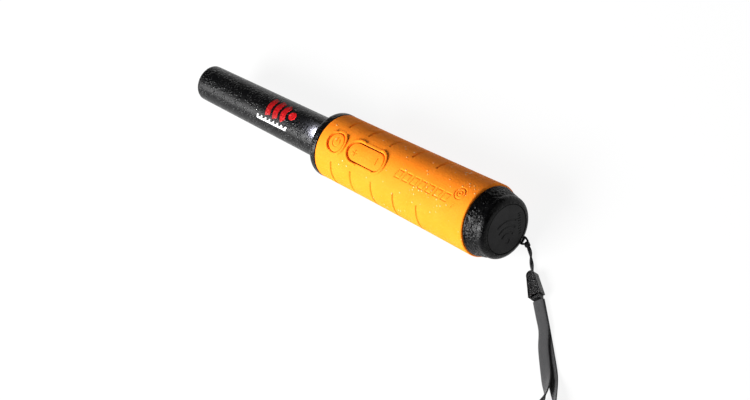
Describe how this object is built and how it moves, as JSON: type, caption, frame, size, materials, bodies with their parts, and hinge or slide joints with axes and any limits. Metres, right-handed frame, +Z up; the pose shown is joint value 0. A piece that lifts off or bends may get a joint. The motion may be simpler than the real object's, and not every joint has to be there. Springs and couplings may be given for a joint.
{
  "type": "pinpointer probe",
  "caption": "Handheld tapered sensing probe with a flared soft grip, round and oblong keys, a torch at the probe's root, a screw-on battery cap and a wrist lanyard.",
  "frame": {"origin": "on the surface that the grip lies on, below the middle of the tool's length (lanyard left out)", "axes": "+X along the tool from the sensing tip to the battery cap, +Z up, out of the keys"},
  "size_m": [0.3453, 0.1511, 0.044],
  "materials": {
    "probe_plastic": "fine spark-eroded texture, damp",
    "shell_plastic": "plain moulded",
    "grip_rubber": "soft-touch moulded, fine grain",
    "pin_steel": "ground",
    "boot_rubber": "matt",
    "clear_lens": "polished",
    "led_resin": "clear resin",
    "ferrite": "sintered",
    "former_plastic": "plain moulded",
    "copper_winding": "enamelled wire",
    "foam": "closed-cell foam",
    "lead_insulation": "smooth insulation",
    "sled_plastic": "plain moulded",
    "screw_steel": "zinc plated",
    "board_laminate": "solder mask",
    "board_laminate_black": "solder mask",
    "chip_plastic": "moulded epoxy",
    "plunger_plastic": "plain moulded",
    "motor_can": "drawn can",
    "weight_metal": "sintered",
    "battery_lead_insulation": "smooth insulation",
    "contact_brass": "plated",
    "battery_jacket": "printed sleeve, plain",
    "stud_metal": "nickel plated",
    "cap_plastic": "coarse moulded texture, damp",
    "disc_plastic": "satin",
    "cord_fabric": "twisted strands",
    "ferrule_plastic": "coarse moulded texture",
    "strap_webbing": "woven webbing"
  },
  "bodies": {
    "housing": {"probe_tube": "probe_plastic", "handle_shell": "shell_plastic", "grip_sleeve": "grip_rubber", "rocker_pin": "pin_steel", "power_boot": "boot_rubber", "rocker_boots": "boot_rubber", "torch_lens": "clear_lens", "lens_seal": "boot_rubber", "torch_led": "led_resin", "ferrite_rod": "ferrite", "coil_former": "former_plastic", "transmit_coil": "copper_winding", "receive_coil_front": "copper_winding", "receive_coil_rear": "copper_winding", "tip_foam": "foam", "rear_foam": "foam", "coil_leads": "lead_insulation", "chassis_sled": "sled_plastic", "chassis_screws": "screw_steel", "circuit_board": "board_laminate", "board_screws": "screw_steel", "tact_switches": "chip_plastic", "switch_plungers": "plunger_plastic", "controller_chip": "chip_plastic", "amplifier_chips": "chip_plastic", "piezo_sounder": "chip_plastic", "vibration_motor": "motor_can", "battery_leads": "battery_lead_insulation", "contact_plate": "board_laminate_black", "contact_springs": "contact_brass", "battery_case": "battery_jacket", "battery_studs": "stud_metal", "neck_seal": "boot_rubber"},
    "power_key": {"power_key": "grip_rubber"},
    "rocker_key": {"rocker_key": "grip_rubber"},
    "motor_weight": {"eccentric_weight": "weight_metal"},
    "battery_pad": {"battery_pad": "foam"},
    "cap": {"battery_cap": "cap_plastic", "cap_disc": "disc_plastic", "lanyard_hitch": "cord_fabric", "lanyard_cord": "cord_fabric", "lanyard_ferrule": "ferrule_plastic", "wrist_strap": "strap_webbing"}
  },
  "joints": [
    {"name": "power_press", "type": "slide", "parent": "housing", "child": "power_key", "axis": [0, 0, -1], "range_m": [0, 0.0007], "stiffness_N_per_m": 2500, "springref_m": -0.0004},
    {"name": "rocker_tilt", "type": "hinge", "parent": "housing", "child": "rocker_key", "pos_m": [0.02685, 0, 0.03753], "axis": [0, 1, 0], "range_deg": [-2.5, 2.5], "stiffness_Nm_per_rad": 1.5},
    {"name": "motor_spin", "type": "hinge", "parent": "housing", "child": "motor_weight", "pos_m": [0.04225, 0.0054, 0.0319], "axis": [1, 0, 0], "continuous": true},
    {"name": "cap_backoff", "type": "slide", "parent": "housing", "child": "battery_pad", "axis": [1, 0, 0], "range_m": [0, 0.006]},
    {"name": "cap_turn", "type": "hinge", "parent": "battery_pad", "child": "cap", "pos_m": [0.12, 0, 0.022], "axis": [1, 0, 0], "range_deg": [0, 720]}
  ],
  "couplings": [
    {"joint": "cap_backoff", "follows": "cap_turn", "m_per_rad": 0.00047746}
  ]
}
